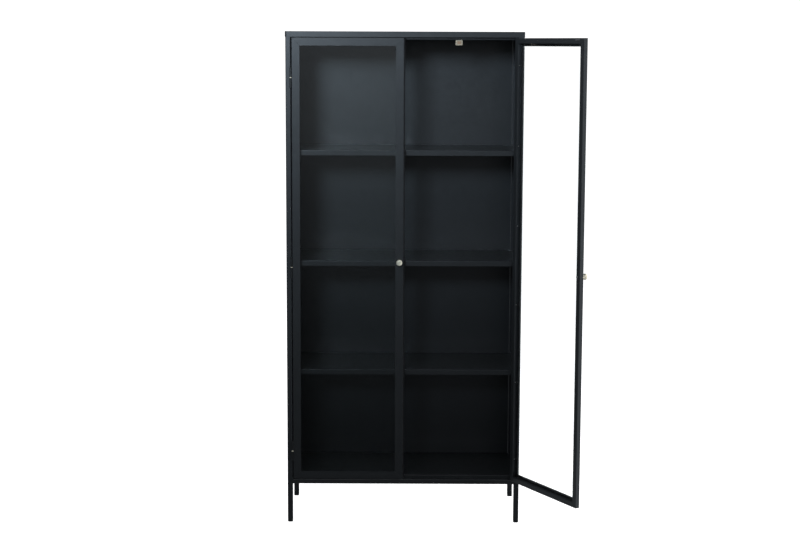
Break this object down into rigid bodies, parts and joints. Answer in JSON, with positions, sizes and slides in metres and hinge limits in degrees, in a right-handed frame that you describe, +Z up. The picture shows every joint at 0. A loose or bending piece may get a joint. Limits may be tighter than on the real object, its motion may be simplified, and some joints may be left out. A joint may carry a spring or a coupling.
{
  "type": "two-door glass display case",
  "caption": "Wide free-standing steel display case on slim legs, with framed glass doors that swing on pin hinges and fixed sheet shelves.",
  "frame": {"origin": "on the floor, under the middle of the bounding box with the left door closed and the right door open by 120.5 degrees", "axes": "+X to the right seen from the front, +Y to the back, +Z up"},
  "size_m": [1.1092, 0.759, 1.892],
  "materials": {
    "gunmetal_paint": "satin gunmetal paint",
    "clear_glass": "clear, 4 mm",
    "pale_brass": "satin",
    "bright_steel": "plated",
    "beige_plastic": "matte",
    "dark_magnet": "plain",
    "black_plastic": "matte",
    "black_rubber": "matte",
    "pale_felt": "felt"
  },
  "bodies": {
    "cabinet": {"top_lid": "gunmetal_paint", "front_top_rail": "gunmetal_paint", "front_bottom_rail": "gunmetal_paint", "bottom_deck": "gunmetal_paint", "back_panel": "gunmetal_paint", "side_panel_left": "gunmetal_paint", "side_panel_right": "gunmetal_paint", "shelf_lower": "gunmetal_paint", "shelf_middle": "gunmetal_paint", "shelf_upper": "gunmetal_paint", "post_front_left": "gunmetal_paint", "post_front_right": "gunmetal_paint", "post_back_left": "gunmetal_paint", "post_back_right": "gunmetal_paint", "foot_cap_front_left": "black_plastic", "foot_cap_front_right": "black_plastic", "foot_cap_back_left": "black_plastic", "foot_cap_back_right": "black_plastic", "catch_left": "beige_plastic", "catch_left_magnet": "dark_magnet", "catch_right": "beige_plastic", "catch_right_magnet": "dark_magnet", "hinge_left_lower_pin_half": "gunmetal_paint", "hinge_left_lower_washer": "pale_brass", "hinge_left_middle_pin_half": "gunmetal_paint", "hinge_left_middle_washer": "pale_brass", "hinge_left_upper_pin_half": "gunmetal_paint", "hinge_left_upper_washer": "pale_brass", "hinge_right_lower_pin_half": "gunmetal_paint", "hinge_right_lower_washer": "pale_brass", "hinge_right_middle_pin_half": "gunmetal_paint", "hinge_right_middle_washer": "pale_brass", "hinge_right_upper_pin_half": "gunmetal_paint", "hinge_right_upper_washer": "pale_brass"},
    "door_left": {"door_left_hinge_stile": "gunmetal_paint", "door_left_meeting_stile": "gunmetal_paint", "door_left_top_rail": "gunmetal_paint", "door_left_bottom_rail": "gunmetal_paint", "door_left_glass": "clear_glass", "door_left_knob": "pale_brass", "door_left_knob_screw": "bright_steel", "door_left_pad": "pale_felt", "door_left_dust_seal": "black_rubber", "hinge_left_lower_sleeve": "gunmetal_paint", "hinge_left_middle_sleeve": "gunmetal_paint", "hinge_left_upper_sleeve": "gunmetal_paint"},
    "door_right": {"door_right_hinge_stile": "gunmetal_paint", "door_right_meeting_stile": "gunmetal_paint", "door_right_top_rail": "gunmetal_paint", "door_right_bottom_rail": "gunmetal_paint", "door_right_glass": "clear_glass", "door_right_knob": "pale_brass", "door_right_knob_screw": "bright_steel", "door_right_pad": "pale_felt", "hinge_right_lower_sleeve": "gunmetal_paint", "hinge_right_middle_sleeve": "gunmetal_paint", "hinge_right_upper_sleeve": "gunmetal_paint"}
  },
  "joints": [
    {"name": "door_left_hinge", "type": "hinge", "parent": "cabinet", "child": "door_left", "pos_m": [-0.53305, -0.00235, 1.0015], "axis": [0, 0, -1], "range_deg": [0, 175]},
    {"name": "door_right_hinge", "type": "hinge", "parent": "cabinet", "child": "door_right", "pos_m": [0.32395, -0.00235, 1.0015], "axis": [0, 0, 1], "range_deg": [-120.5, 54.5]}
  ]
}
